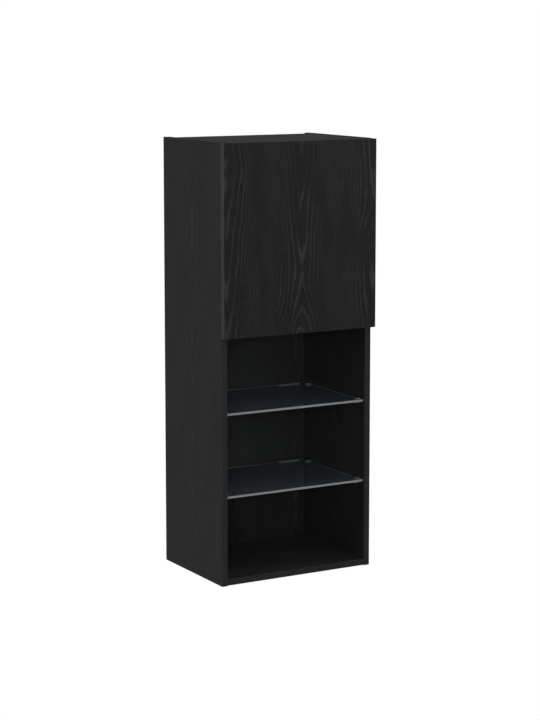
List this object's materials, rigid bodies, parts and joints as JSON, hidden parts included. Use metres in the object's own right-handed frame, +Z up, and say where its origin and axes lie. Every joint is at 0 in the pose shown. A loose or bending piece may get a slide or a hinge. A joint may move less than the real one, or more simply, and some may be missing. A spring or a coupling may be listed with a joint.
{
  "type": "hanging wall cabinet",
  "caption": "Tall narrow wall cabinet in black oak-grain board: a hinged plain door above an open niche with clamped glass shelves and clip-on lights.",
  "frame": {"origin": "on the wall plane, midway between the two fixing holes of the rail, which are 965 mm above the underside of the sides", "axes": "+X along the wall, towards the hinge side (the right, seen from the front); +Y into the wall; +Z up"},
  "size_m": [0.405, 0.3, 1.02],
  "materials": {
    "black_oak_board": "matt black oak-grain foil",
    "clear_glass": "clear float glass, ground edges",
    "cast_zinc": "satin nickel-plated zinc",
    "nickel_steel": "nickel-plated steel",
    "clear_soft_plastic": "soft clear plastic",
    "grey_plastic": "satin grey plastic",
    "opal_lens": "opal plastic, unlit",
    "black_plastic": "satin black plastic",
    "birch": "bare birch"
  },
  "bodies": {
    "carcass": {"left_side": "black_oak_board", "right_side": "black_oak_board", "top_panel": "black_oak_board", "middle_panel": "black_oak_board", "bottom_panel": "black_oak_board", "back_panel": "black_oak_board", "back_nails": "nickel_steel", "fixing_rail": "black_oak_board", "upper_hinge_arm": "nickel_steel", "lower_hinge_arm": "nickel_steel", "upper_hinge_spring": "nickel_steel", "lower_hinge_spring": "nickel_steel", "upper_hinge_plate": "nickel_steel", "lower_hinge_plate": "nickel_steel", "plate_screws": "nickel_steel", "arm_screws": "nickel_steel", "upper_glass_shelf": "clear_glass", "lower_glass_shelf": "clear_glass", "upper_left_front_clamp": "cast_zinc", "upper_left_rear_clamp": "cast_zinc", "upper_right_front_clamp": "cast_zinc", "upper_right_rear_clamp": "cast_zinc", "lower_left_front_clamp": "cast_zinc", "lower_left_rear_clamp": "cast_zinc", "lower_right_front_clamp": "cast_zinc", "lower_right_rear_clamp": "cast_zinc", "upper_clamp_pads": "clear_soft_plastic", "lower_clamp_pads": "clear_soft_plastic", "upper_clamp_screws": "nickel_steel", "lower_clamp_screws": "nickel_steel", "upper_light_housing": "grey_plastic", "lower_light_housing": "grey_plastic", "upper_light_lens": "opal_lens", "lower_light_lens": "opal_lens", "upper_light_grip": "clear_soft_plastic", "lower_light_grip": "clear_soft_plastic", "cam_discs": "cast_zinc", "cam_bolts": "nickel_steel", "cam_caps": "black_plastic", "wooden_dowels": "birch"},
    "door": {"door": "black_oak_board", "door_bumpers": "clear_soft_plastic", "upper_hinge_cup": "nickel_steel", "lower_hinge_cup": "nickel_steel", "upper_hinge_pin": "nickel_steel", "lower_hinge_pin": "nickel_steel", "cup_screws": "nickel_steel"}
  },
  "joints": [
    {"name": "door_swing", "type": "hinge", "parent": "carcass", "child": "door", "pos_m": [0.1959, -0.295, -0.167], "axis": [0, 0, 1], "range_deg": [0, 100]}
  ]
}
